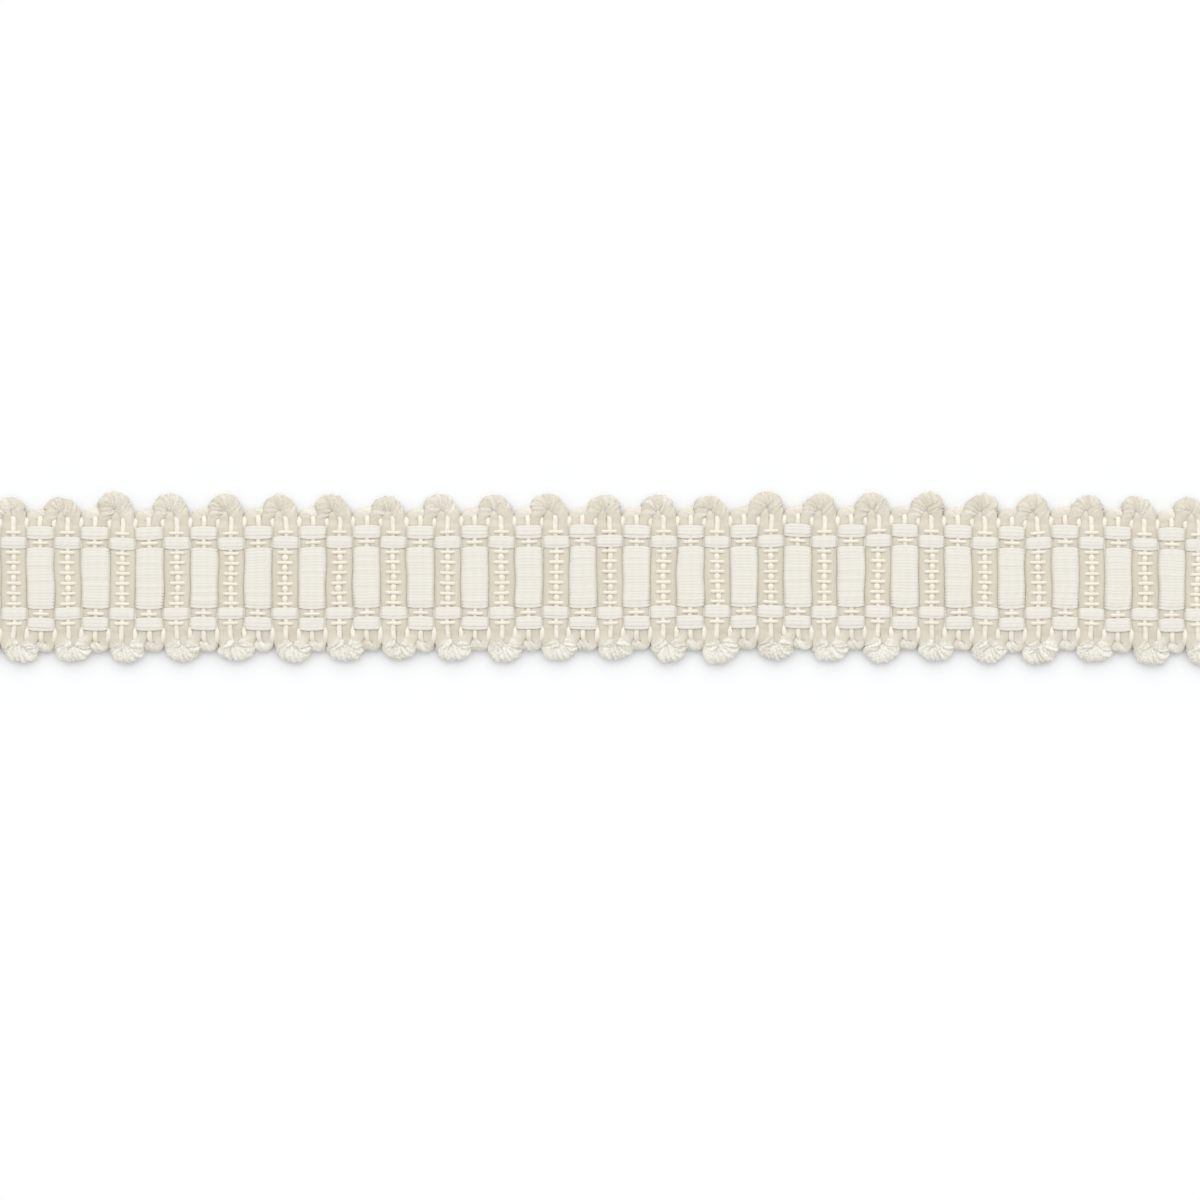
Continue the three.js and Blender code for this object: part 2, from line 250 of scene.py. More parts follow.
# The warps' places across. Cotton ends lie in groups, which float over the ribs or over the panels
COTTON_STEP = 0.2865 * MM
CENTRE_COUNT = 20
CENTRE_ENDS = (np.arange(CENTRE_COUNT) - (CENTRE_COUNT - 1) / 2) * COTTON_STEP
INNER_ENDS = np.array([2.90, 3.17, 3.44, 3.71]) * MM
OUTER_ENDS = np.array([3.84, 4.14, 4.43, 4.73]) * MM
CENTRE_SHINY = np.array([-2.38, -1.43, -0.475, 0.475, 1.43, 2.38]) * MM
OUTER_SHINY = np.array([-4.25, 4.25]) * MM
RECESS_SHINY = np.array([-3.33, 3.33]) * MM

# How high the warps lie over the picks and under them, how long the fall between is, and how long half a
# float is
COTTON_OVER = 1.22 * MM
COTTON_UNDER = 0.14 * MM
COTTON_SLOPE = 0.64 * MM
PANEL_FLOAT = 1.35 * MM
RIB_FLOAT = 1.31 * MM
SHINY_OVER = 1.19 * MM
SHINY_UNDER = 0.14 * MM
SHINY_SLOPE = 0.8 * MM
SHINY_RIB_FLOAT = 0.94 * MM
SHINY_PANEL_FLOAT = 0.99 * MM

# A warp's half width and half height in the weave, as shares of its thickness: both kinds are pressed flat
COTTON_HALVES = (0.74, 0.15)
SHINY_HALVES = (0.5, 0.3)

# Where the cotton ends of a group dive under the picks they draw together, to these shares of their spread
CENTRE_GATHER = 0.93
SIDE_GATHER = 0.7

# How much lower the outermost end of a cotton group lies, and its neighbour. Shiny warps lie level
EDGE_DROP = np.array([0.035, 0.01]) * MM
NO_DROP = np.zeros(2)

# The camera looks straight down on a square of this width, whose middle is a little beside the trim's
VIEW_WIDTH = 112.74 * MM
VIEW_MIDDLE = (2.05 * MM, -2.09 * MM)
LENS_MM = 200.0
SENSOR_MM = 36.0
NEAR_CLIP = 0.01
FAR_CLIP = 10.0
MID_HEIGHT = 0.7 * MM


# Sizes and colours that a user would change

FINEST_YARN = 0.1 * MM
COARSEST_YARN = 0.6 * MM


def thickness_setting(name, description, default):
    """A yarn's thickness, in metres."""
    return bpy.props.FloatProperty(
        name=name,
        description=description,
        default=default,
        min=FINEST_YARN,
        max=COARSEST_YARN,
        precision=6,
        unit="LENGTH",
        subtype="DISTANCE",
    )


def scale_setting(name, description, most):
    """A factor on a cord's woven thickness, which is 1 as made."""
    return bpy.props.FloatProperty(
        name=name, description=description, default=1.0, min=0.5, max=most, subtype="FACTOR"
    )


def colour_setting(name, description, default):
    """A colour of three numbers from 0 to 1."""
    return bpy.props.FloatVectorProperty(
        name=name, description=description, default=default, min=0.0, max=1.0, size=3, subtype="COLOR"
    )


class GimpSizes(bpy.types.PropertyGroup):
    """The thickness of each kind of yarn."""

    cotton: thickness_setting("Matte cotton", "How thick a matte cotton warp is", 0.287 * MM)
    shiny: thickness_setting("Shiny rayon", "How thick a shiny warp is", 0.35 * MM)
    cord: scale_setting("Thick cord", "How much thicker or thinner the thick wefts are than woven", 1.2)
    thin: scale_setting("Thin cord", "How much thicker or thinner the thin weft is than woven", 1.3)


class GimpColours(bpy.types.PropertyGroup):
    """The colours of the yarns and of the floor."""

    cotton: colour_setting("Matte cotton", "Colour of the matte warps", (0.80, 0.773, 0.705))
    # The darker cotton colour serves both the darker fibres and the painted shade in the hollows of the plies
    cotton_dark_fibre_and_shade: colour_setting("Cotton shade", "Colour of the darker cotton fibres", (0.751, 0.72, 0.642))
    shiny: colour_setting("Shiny rayon", "Colour of the shiny warps", (0.88, 0.82, 0.70))
    cord: colour_setting("Cord", "Colour of the thick cord in the weave", (0.655, 0.608, 0.502))
    # The opened cord's colour is also where the painted highlight of the near loops and the painted sheen
    # along the trim lead
    cord_open: colour_setting("Opened cord", "Colour of the cord where it has opened", (0.90, 0.875, 0.80))
    thin: colour_setting("Thin cord", "Colour of the thin weft", (0.92, 0.87, 0.76))
    floor: colour_setting("Floor", "Colour of the floor", (0.912, 0.921, 0.93))


# Where things lie


def s_step(share):
    """An S-shaped step from 0 to 1: three times the square of the share less twice its cube, with the share
    held between 0 and 1."""
    share = np.clip(share, 0, 1)
    return share**2 * (3 - 2 * share)


def place_along(repeats):
    """The place along the trim of a point given in repeats from its middle: the repeat's length times the
    count, and a small square term that shortens the repeats to the right."""
    return REPEAT * repeats + REPEAT_EASE * (repeats**2 - HALF_COUNT**2)


def wander(along):
    """The mid-line's place across: an S-shaped step from one place in the table to the next."""
    last = len(WANDER_ALONG) - 1
    next_row = np.clip(np.searchsorted(WANDER_ALONG, along), 1, last)
    start = WANDER_ALONG[next_row - 1]
    way = s_step((along - start) / (WANDER_ALONG[next_row] - start))
    return WANDER_ACROSS[next_row - 1] * (1 - way) + WANDER_ACROSS[next_row] * way


UNEVEN_WAVES = 14
UNEVEN_LENGTHS = (2.5 * MM, 16 * MM)
UNEVEN_MOST = 0.016 * MM
ALONG_SEED = 3
ACROSS_SEED = 4


def unevenness(along, across, seed):
    """A hand-woven unevenness: a sum of sine waves of even strength over the trim's plane, each with its own
    direction, length and phase, drawn from the seed."""
    rng = np.random.default_rng(seed)
    length = rng.uniform(*UNEVEN_LENGTHS, UNEVEN_WAVES)
    heading = rng.uniform(0, 2 * np.pi, UNEVEN_WAVES)
    phase = rng.uniform(0, 2 * np.pi, UNEVEN_WAVES)
    total = np.zeros(np.broadcast(along, across).shape)
    for size, turn, start in zip(length, heading, phase):
        run = along * math.cos(turn) + across * math.sin(turn)
        total += np.sin(2 * np.pi * run / size + start)
    return total * UNEVEN_MOST


def lay(repeats, across, height):
    """Points in the trim's own places, in repeats from the middle and metres across and up, as they lie."""
    along = place_along(repeats)
    x = along + unevenness(along, across, ALONG_SEED)
    y = across + wander(along) + unevenness(along, across, ACROSS_SEED)
    return np.stack(np.broadcast_arrays(x, y, height), axis=-1)


class Wave(NamedTuple):
    """A smooth random wave along a yarn: its strength, and over how many rings it is smoothed."""

    strength: float
    stiffness: int


def waver(count, rings, wave, rng):
    """The wave for each of count yarns: white noise, averaged over the rings on both sides with a bell's
    weights and brought back to the wave's strength."""
    reach = np.arange(-2 * wave.stiffness, 2 * wave.stiffness + 1)
    bell = np.exp(-0.5 * (reach / wave.stiffness) ** 2)
    noise = rng.standard_normal((count, rings + len(bell) - 1))
    smooth = np.stack([np.convolve(row, bell, mode="valid") for row in noise])
    return smooth / np.sqrt((bell**2).sum()) * wave.strength


# Yarns as surfaces

UP = np.array([0.0, 0.0, 1.0])


class Skin(NamedTuple):
    """The surface of some yarns: points, quads, end faces, the run along the yarn in turns of its twist at
    each point, the number of sides, and the numbers for the material at each point."""

    points: np.ndarray
    quads: np.ndarray
    ends: np.ndarray
    run: np.ndarray
    sides: int
    looks: dict


def per_point(values, shape):
    """Values for each (yarn, ring), or for each (yarn, ring, side), spread over all points."""
    values = np.asarray(values)
    if values.ndim == 2:
        values = values[..., None]
    return np.broadcast_to(values, shape).ravel()


def boxed(wave, power):
    """A sine or cosine raised to a power, with its sign kept."""
    return np.sign(wave) * np.abs(wave) ** power


def yarn_skins(
    centres,
    half_width,
    half_height,
    sides,
    lay_length,
    relaxed,
    tone,
    pale=0.0,
    turn=0.0,
    swell=1.0,
    square=0.0,
):
    """Ovals carried along centre lines, an array of (yarn, ring, xyz).

    The point at angle t of a ring is the centre, plus half_width times the cosine of t along the level
    direction, plus half_height times the sine of t along the upward one, times the swell. The level direction
    is square to the line and flat, and the upward one is square to both. turn is added to the angles of a
    ring. The cosine and the sine are raised to the power of 1 less square, with their signs kept, which makes
    an oval boxier. Both ends are closed with a flat face.
    """
    ahead = np.gradient(centres, axis=1)
    ahead /= np.linalg.norm(ahead, axis=2, keepdims=True)
    level = np.cross(UP, ahead)
    level /= np.linalg.norm(level, axis=2, keepdims=True)
    upward = np.cross(ahead, level)
    yarns, rings = centres.shape[:2]
    by_ring = (half_width, half_height, turn, square)
    half_width, half_height, turn, square = (
        np.broadcast_to(values, (yarns, rings))[..., None] for values in by_ring
    )
    angle = 2 * np.pi * np.arange(sides) / sides + turn
    wide = half_width * boxed(np.cos(angle), 1 - square) * swell
    tall = half_height * boxed(np.sin(angle), 1 - square) * swell
    points = centres[:, :, None] + wide[..., None] * level[:, :, None] + tall[..., None] * upward[:, :, None]

    index = np.arange(yarns * rings * sides).reshape(yarns, rings, sides)
    beside = np.roll(index, -1, axis=2)
    quads = np.stack([index[:, :-1], beside[:, :-1], beside[:, 1:], index[:, 1:]], axis=-1)
    ends = np.concatenate([index[:, 0, ::-1], index[:, -1]])
    step = np.linalg.norm(np.diff(centres, axis=1), axis=2)
    run = np.concatenate([np.zeros((yarns, 1)), np.cumsum(step, axis=1)], axis=1) / lay_length
    # pale is a painted highlight, and heading, how far a yarn runs along the trim, drives a painted sheen;
    # the cord's material reads both
    looks = {"relaxed": relaxed, "tone": tone, "pale": pale, "heading": np.abs(ahead[:, :, 0])}
    looks = {key: per_point(values, (yarns, rings, sides)) for key, values in looks.items()}
    run = per_point(run, (yarns, rings, sides))
    return Skin(points.reshape(-1, 3), quads.reshape(-1, 4), ends, run, sides, looks)


YARN_MAP = "yarn"


def make_piece(name, skin, material, nodes):
    """Puts a skin into a mesh with its yarn map, whose first number is the run along the yarn in turns of the
    twist and whose second is the share of the way round, and seats it on the trim's body."""
    mesh = bpy.data.meshes.new(name)
    faces = skin.quads.tolist() + skin.ends.tolist()
    mesh.from_pydata(skin.points, [], faces)
    smooth = np.ones(len(faces), dtype=bool)
    smooth[len(skin.quads) :] = False
    mesh.polygons.foreach_set("use_smooth", smooth)

    side = (skin.quads[:, 0] % skin.sides) / skin.sides
    round_share = side[:, None] + np.array([0, 1, 1, 0]) / skin.sides
    quad_map = np.stack([skin.run[skin.quads], round_share], axis=-1).reshape(-1, 2)
    end_map = np.stack([skin.run[skin.ends], (skin.ends % skin.sides) / skin.sides], axis=-1).reshape(-1, 2)
    layer = mesh.uv_layers.new(name=YARN_MAP)
    layer.uv.foreach_set("vector", np.concatenate([quad_map, end_map]).astype(np.float32).ravel())
    for key, values in skin.looks.items():
        store = mesh.attributes.new(key, "FLOAT", "POINT")
        store.data.foreach_set("value", values.astype(np.float32))
    mesh.update()

    piece = bpy.data.objects.new(name, mesh)
    bpy.context.scene.collection.objects.link(piece)
    mesh.materials.append(material)
    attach(piece, BODY)
    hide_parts(*nodes)
    return piece


def smooth_route(stops):
    """A smooth line through all the stops, an array of (stop, value) whose last column counts the rings to
    the next stop.

    Between two stops each value follows the cubic that meets both values and both slopes. The run between
    stops is their distance apart, and the slope at a stop is that of the chord between its neighbours.
    """
    values = stops[:, :-1]
    rings = stops[:-1, -1].astype(int)
    gap = np.linalg.norm(np.diff(values[:, :3], axis=0), axis=1)
    step = np.diff(values, axis=0)
    middle = (step[:-1] + step[1:]) / (gap[:-1] + gap[1:])[:, None]
    tangent = np.concatenate([step[:1] / gap[0], middle, step[-1:] / gap[-1]])

    segment = np.repeat(np.arange(len(rings)), rings)
    first = np.concatenate([[0], np.cumsum(rings)[:-1]])
    share = ((np.arange(rings.sum()) - first[segment]) / rings[segment])[:, None]
    start, end = values[segment], values[segment + 1]
    reach = gap[segment][:, None]
    leave = share * (1 - share) ** 2 * reach * tangent[segment]
    arrive = share**2 * (share - 1) * reach * tangent[segment + 1]
    way = s_step(share)
    line = start * (1 - way) + end * way + leave + arrive
    return np.concatenate([line, values[-1:]])


# Warps


class WarpKind(NamedTuple):
    """What the warps of one kind share, in metres: how long the fall from over the picks to under them is,
    how high they lie over and under, half their width and half their height, the length of one turn of their
    twist, and how much lower the outermost end of a group lies, and its neighbour."""

    slope: float
    over: float
    under: float
    half_width: float
    half_height: float
    lay_length: float
    edge_drop: np.ndarray


def float_height(distance, half_float, kind):
    """How high a warp lies at a distance from the middle of its float: over the picks up to the float's end,
    under them beyond it, with an S-shaped fall between."""
    over_share = s_step((half_float + kind.slope / 2 - distance) / kind.slope)
    return kind.under + (kind.over - kind.under) * over_share


# Where a warp's rings lie beyond the end of its half float, in slopes, and the part of a repeat that stays
# clear of rings at a cut end
FALL_RINGS = np.array([-1.0, -0.52, -0.38, -0.2, 0.12, 0.5])
CUT_CLEARANCE = 0.01


def warp_places(half_float, slope, middle):
    """The rings' places in repeats from the trim's middle, from cut end to cut end: in each repeat the
    float's middle, six places round each fall, and the middle of the stretch beneath."""
    falls = half_float + FALL_RINGS * slope
    one = np.concatenate([[-REPEAT / 2], -falls[::-1], [0.0], falls]) / REPEAT
    repeats = np.arange(-HALF_COUNT - 1, HALF_COUNT + 1)
    places = (repeats[:, None] + 0.5 + middle + one).ravel()
    last = HALF_COUNT - CUT_CLEARANCE
    return np.concatenate([[-HALF_COUNT], places[(places > -last) & (places < last)], [HALF_COUNT]])


WARP_SIDES = 8

# How uneven the warps are: the bow of a float, the waves in height, place across, thickness and shade, the
# spread of shade from warp to warp, and how far the cut ends stand out
FLOAT_BOW = 0.02 * MM
WARP_HEIGHT = Wave(0.005 * MM, 9)
WARP_SIDEWAYS = Wave(0.012 * MM, 9)
WARP_FULLNESS = Wave(0.035, 5)
WARP_TONE = Wave(0.5, 14)
WARP_TONE_SPREAD = 0.5
CUT_UNEVEN = 0.09 * MM

# Where on half a float its ends begin to draw together, and how long they take, as shares of it
GATHER_START = 0.35
GATHER_LENGTH = 0.75


def warp_skin(across, gathered, over_rib, half_float, kind, rng):
    """The skins of a group of warps that float together, with a little unevenness of their own. A warp lies
    at across while it floats and at gathered where it passes under, with an S-shaped way between."""
    middle = 0.0 if over_rib else 0.5
    places = warp_places(half_float, kind.slope, middle)
    distance = np.abs((places - middle) % 1.0 - 0.5) * REPEAT
    count, rings = len(across), len(places)
    bow = np.clip(1 - distance / half_float, 0, 1) * FLOAT_BOW
    height = float_height(distance, half_float, kind) + bow + waver(count, rings, WARP_HEIGHT, rng)
    dropped = len(kind.edge_drop)
    height[:dropped] -= kind.edge_drop[:, None]
    height[-dropped:] -= kind.edge_drop[::-1, None]
    drawn = s_step((distance - half_float * GATHER_START) / (half_float * GATHER_LENGTH))
    sideways = across[:, None] * (1 - drawn) + gathered[:, None] * drawn
    sideways = sideways + waver(count, rings, WARP_SIDEWAYS, rng)
    repeats = np.tile(places, (count, 1))
    repeats[:, 0] += rng.uniform(-1, 1, count) * CUT_UNEVEN / REPEAT
    repeats[:, -1] += rng.uniform(-1, 1, count) * CUT_UNEVEN / REPEAT
    fullness = 1 + waver(count, rings, WARP_FULLNESS, rng)
    tone = waver(count, rings, WARP_TONE, rng) + rng.normal(0, WARP_TONE_SPREAD, count)[:, None]
    centres = lay(repeats, sideways, height)
    wide, tall = kind.half_width * fullness, kind.half_height * fullness
    return yarn_skins(centres, wide, tall, WARP_SIDES, kind.lay_length, relaxed=0.0, tone=tone)


def joined(skins):
    """Several skins of the same number of sides as one."""
    starts = np.cumsum([0] + [len(s.points) for s in skins[:-1]])
    return Skin(
        np.concatenate([s.points for s in skins]),
        np.concatenate([s.quads + n for s, n in zip(skins, starts)]),
        np.concatenate([s.ends + n for s, n in zip(skins, starts)]),
        np.concatenate([s.run for s in skins]),
        skins[0].sides,
        {key: np.concatenate([s.looks[key] for s in skins]) for key in skins[0].looks},
    )


# Wefts

# The columns of a stop, and how many of them, from the first, are lengths
ALONG = Stop._fields.index("along")
ACROSS = Stop._fields.index("across")
TIP = Stop._fields.index("tip")
LENGTHS = Stop._fields.index("relaxed")


def repeated_stops(stops, loops, last_turn):
    """The route's stops for every repeat, in metres, with each loop's own reach and lean. The stops of the
    last turn, which would pass the cut end, are left out."""
    rows = np.tile(np.array(stops), (REPEATS, 1, 1))
    reach, lean = loops.T[..., None]
    tip = rows[..., TIP]
    rows[..., ALONG] += lean * tip
    rows[..., ACROSS] += np.sign(rows[..., ACROSS]) * (reach - MEAN_REACH) * tip
    rows[..., :LENGTHS] *= MM
    rows[..., ALONG] += (RIBS * REPEAT)[:, None]
    flat = rows.reshape(-1, rows.shape[-1])
    return flat[: len(flat) - last_turn]


# How far from the mid-line the centre, inner and outer groups of warps end, and how far the wefts bend
# under and over them
CENTRE_EDGE = 2.8 * MM
INNER_EDGE = 3.78 * MM
OUTER_EDGE = 4.9 * MM
PICK_CRIMP = 0.05 * MM


def pick_crimp(along, across):
    """How far a weft rises or sinks at a place: by a cosine of the repeat, it sinks where the warps float
    over it and rises where they pass beneath."""
    over_rib = np.cos(2 * np.pi * (along / REPEAT - 0.5))
    side = np.abs(across)
    centre = side < CENTRE_EDGE
    inner = (side >= CENTRE_EDGE) & (side < INNER_EDGE)
    outer = (side >= INNER_EDGE) & (side < OUTER_EDGE)
    return PICK_CRIMP * (np.where(centre | outer, over_rib, 0) - np.where(inner, over_rib, 0))


# The thick cord: its plies, the length of one turn where it has opened, and that of one turn of its yarn map
CORD_SIDES = 24
CORD_PLIES = 4
CORD_LAY = 1.6 * MM
CORD_MAP_LAY = 0.9 * MM

# The depth of the hollows between its plies and how uneven the plies are, as shares of its thickness
PLY_DEPTH = 0.14
PLY_UNEVEN = 0.04

# How boxy it is in the weave, and how much of that it loses where it has opened
CORD_SQUARENESS = 0.25
OPEN_ROUNDING = 0.1

# Its waves in fullness, turning, depth of hollows and shade, those of a ply, and the share of a ply in the
# shade. In the weave it keeps a share of its wave in fullness
CORD_FULLNESS = Wave(0.03, 7)
CORD_TURNING = Wave(0.12, 6)
HOLLOW_DEPTH = Wave(0.25, 5)
CORD_TONE = Wave(0.3, 20)
PLY_WAVE = Wave(1.0, 4)
PLY_TONE = 0.7
WOVEN_SHARE = 0.4

# The lumps: their size as a share of the cord's thickness, their wave along it and their spread round it
LUMPS = 0.035
LUMP_WAVE = Wave(1.0, 2)
LUMP_SPREAD = 0.8
LUMP_REACH = 4

# No thick cord comes nearer to the floor than this, and no two of its rings count as nearer than this
FLOOR_GAP = 0.01 * MM
LEAST_STEP = 0.001 * MM


def lumps(rings, sides, rng):
    """Small random lumps over a cord, an array of (ring, side) of even strength: waves along the cord, each
    averaged with its neighbours round it with a bell's weights."""
    along = waver(sides, rings, LUMP_WAVE, rng).T
    reach = np.arange(-LUMP_REACH, LUMP_REACH + 1)
    bell = np.exp(-0.5 * (reach / LUMP_SPREAD) ** 2)
    around = sum(weight * np.roll(along, shift, axis=1) for weight, shift in zip(bell, reach))
    return around / np.sqrt((bell**2).sum())


def bend_of(centres, step):
    """How sharply a line bends in the level, in radians to the millimetre: its change of heading over the
    step from ring to ring."""
    ahead = np.gradient(centres[:, :2], axis=0)
    heading = np.unwrap(np.arctan2(ahead[:, 1], ahead[:, 0]))
    return np.gradient(heading) * MM / np.maximum(step, LEAST_STEP)


def cord_skin(stops, scale, rng):
    """A thick weft, opened where it leaves the weave.

    Its swell is 1 plus the plies' own fullness and the lumps, less the hollows between the plies, which are
    as deep as the square of half of 1 plus a cosine with a turn for each ply. All of them grow as the cord
    opens, turn round it, and fade on the inner side of a bend. What would sink into the floor lies flat on
    it.
    """
    line = smooth_route(stops)
    along, across, height, half_width, half_height, relaxed, pale, _ = line.T
    relaxed = np.clip(relaxed, 0, 1)
    rings = len(line)
    centres = lay(along / REPEAT, across, height + pick_crimp(along, across))
    full = scale * (1 + waver(1, rings, CORD_FULLNESS, rng)[0] * (WOVEN_SHARE + relaxed))
    step = np.linalg.norm(np.diff(centres, axis=0, prepend=centres[:1]), axis=1)
    rate = relaxed * (1 + waver(1, rings, CORD_TURNING, rng)[0])
    turn = np.cumsum(step * rate) * 2 * np.pi / CORD_LAY

    side = np.arange(CORD_SIDES) / CORD_SIDES
    hollow = (0.5 + 0.5 * np.cos(2 * np.pi * CORD_PLIES * side)) ** 2
    which = np.arange(CORD_SIDES) * CORD_PLIES // CORD_SIDES
    of_ply = waver(CORD_PLIES, rings, PLY_WAVE, rng).T[:, which]
    depth = PLY_DEPTH * relaxed * (1 + waver(1, rings, HOLLOW_DEPTH, rng)[0])
    ridges = PLY_UNEVEN * of_ply * (1 - hollow) + LUMPS * lumps(rings, CORD_SIDES, rng)
    angle = 2 * np.pi * side + turn[:, None]
    outside = 1 - np.clip(bend_of(centres, step)[:, None] * np.cos(angle), 0, 1)
    swell = 1 + outside * (relaxed[:, None] * ridges - depth[:, None] * hollow)
    tone = waver(1, rings, CORD_TONE, rng)[0][:, None] + PLY_TONE * of_ply
    skin = yarn_skins(
        centres[None],
        half_width * full,
        half_height * full,
        CORD_SIDES,
        CORD_MAP_LAY,
        relaxed[None],
        tone[None],
        pale[None],
        turn,
        swell,
        CORD_SQUARENESS - OPEN_ROUNDING * relaxed,
    )
    skin.points[:, 2] = np.maximum(skin.points[:, 2], FLOOR_GAP)
    return skin


# The thin cord, the step between the shiny warps of the centre, and how far across a rib's beads reach
THIN_SIDES = 8
THIN_LAY = 0.8 * MM
SHINY_ROW = 0.952 * MM
BEADS_END = 2.6 * MM

# How far a bead rises and swells, and how wide a rib is as a share of a repeat, to either side
BEAD_RISE = 0.06 * MM
BEAD_SWELL = 0.2
RIB_REACH = 0.1

# Its waves in the beads' size and place, in fullness and in shade
BEAD_SIZE = Wave(0.3, 4)
BEAD_SHIFT = Wave(0.035 * MM, 4)
THIN_FULLNESS = Wave(0.03, 6)
THIN_TONE = Wave(0.8, 20)


def thin_skin(stops, scale, rng):
    """The thin weft. On a rib it rises and swells by a cosine across, into a bead between two shiny warps."""
    line = smooth_route(stops)
    along, across, height, half_width, half_height, relaxed, pale, _ = line.T
    rings = len(line)
    on_rib = np.abs((along / REPEAT) % 1.0 - 0.5) < RIB_REACH
    row = np.cos(2 * np.pi * across / SHINY_ROW) * on_rib * (np.abs(across) < BEADS_END)
    row = row * (1 + waver(1, rings, BEAD_SIZE, rng)[0])
    along = along + waver(1, rings, BEAD_SHIFT, rng)[0] * on_rib
    height = height + pick_crimp(along, across) + row * BEAD_RISE
    full = scale * (1 + waver(1, rings, THIN_FULLNESS, rng)[0]) * (1 + BEAD_SWELL * row)
    tone = waver(1, rings, THIN_TONE, rng)
    centres = lay(along / REPEAT, across, height)[None]
    wide, tall = half_width * full, half_height * full
    return yarn_skins(centres, wide, tall, THIN_SIDES, THIN_LAY, relaxed[None], tone, pale[None])


# Loose fibres

# Their number, and one fibre's rings, sides, half width, length and rise over its run
FIBRES_PER_LOOP = 16
FIBRE_RINGS = 7
FIBRE_SIDES = 3
FIBRE_HALF_WIDTH = 0.009 * MM
FIBRE_RUN = (0.3 * MM, 0.7 * MM)
FIBRE_RISE = 0.12 * MM
FIBRE_LAY = 1.0 * MM

# Where on the rim a fibre starts, how far from straight out it heads and how far it turns, in radians, how
# much thinner its tip is, and how its thickness differs from the next one's
FIBRE_RIM = (0.05 * math.pi, 0.95 * math.pi)
FIBRE_HEADING = (0.6, 1.5)
FIBRE_TURN = 1.1
FIBRE_TAPER = 0.6
FIBRE_FULLNESS = (0.7, 1.2)


def fibre_skin(middles, loop_reach, loop_width, rng):
    """Loose fibres round the large loops. Each starts on an oval round its loop's middle, at a random angle
    on the outer side, and runs out and along the rim on a curve whose heading turns evenly."""
    count = len(middles) * FIBRES_PER_LOOP
    middle = np.repeat(middles, FIBRES_PER_LOOP, axis=0)
    angle = rng.uniform(*FIBRE_RIM, count) * np.sign(middle[:, 1])
    out = np.stack([np.cos(angle), np.sin(angle)], axis=1)
    start = middle[:, :2] + out * np.array([loop_width, loop_reach])
    length = rng.uniform(*FIBRE_RUN, count)
    heading = angle + rng.choice([-1, 1], count) * rng.uniform(*FIBRE_HEADING, count)
    turn = rng.uniform(-FIBRE_TURN, FIBRE_TURN, count)
    share = np.linspace(0, 1, FIBRE_RINGS)
    course = heading[:, None] + turn[:, None] * share
    step = length[:, None] / (FIBRE_RINGS - 1)
    x = start[:, :1] + np.cumsum(np.cos(course) * step, axis=1)
    y = start[:, 1:] + np.cumsum(np.sin(course) * step, axis=1)
    height = middle[:, 2:] + rng.uniform(-1, 1, (count, 1)) * FIBRE_RISE + FIBRE_RISE * share
    half_width = FIBRE_HALF_WIDTH * (1 - FIBRE_TAPER * share) * rng.uniform(*FIBRE_FULLNESS, (count, 1))
    tone = rng.normal(0, 1, (count, 1))
    centres = np.stack([x, y, height], axis=-1)
    return yarn_skins(centres, half_width, half_width, FIBRE_SIDES, FIBRE_LAY, 1.0, tone, pale=1.0)


# Materials


class Finish(NamedTuple):
    """How a yarn takes the light: its roughness and how much its fibres add to that, its gloss, the share of
    the light that passes into it, and the height of its relief, with the fibres' and the plies' shares in it.
    """

    roughness: float
    fibre_roughness: float
    gloss: float
    glow: float
    relief: float
    fibres: float
    plies: float


COTTON_FINISH = Finish(0.92, 0.0, gloss=0.15, glow=0.0, relief=0.022 * MM, fibres=0.45, plies=0.55)
SHINY_FINISH = Finish(0.22, 0.25, gloss=0.6, glow=0.3, relief=0.02 * MM, fibres=0.7, plies=0.3)
CORD_FINISH = Finish(0.38, 0.25, gloss=0.5, glow=0.3, relief=0.05 * MM, fibres=0.6, plies=0.2)
THIN_FINISH = Finish(0.38, 0.25, gloss=0.5, glow=0.3, relief=0.03 * MM, fibres=0.5, plies=0.5)

# How far light wanders inside rayon, and the shares of that for red, green and blue
RAYON_DEPTH = 0.22 * MM
DEPTH_BY_COLOUR = (1.0, 0.9, 0.72)


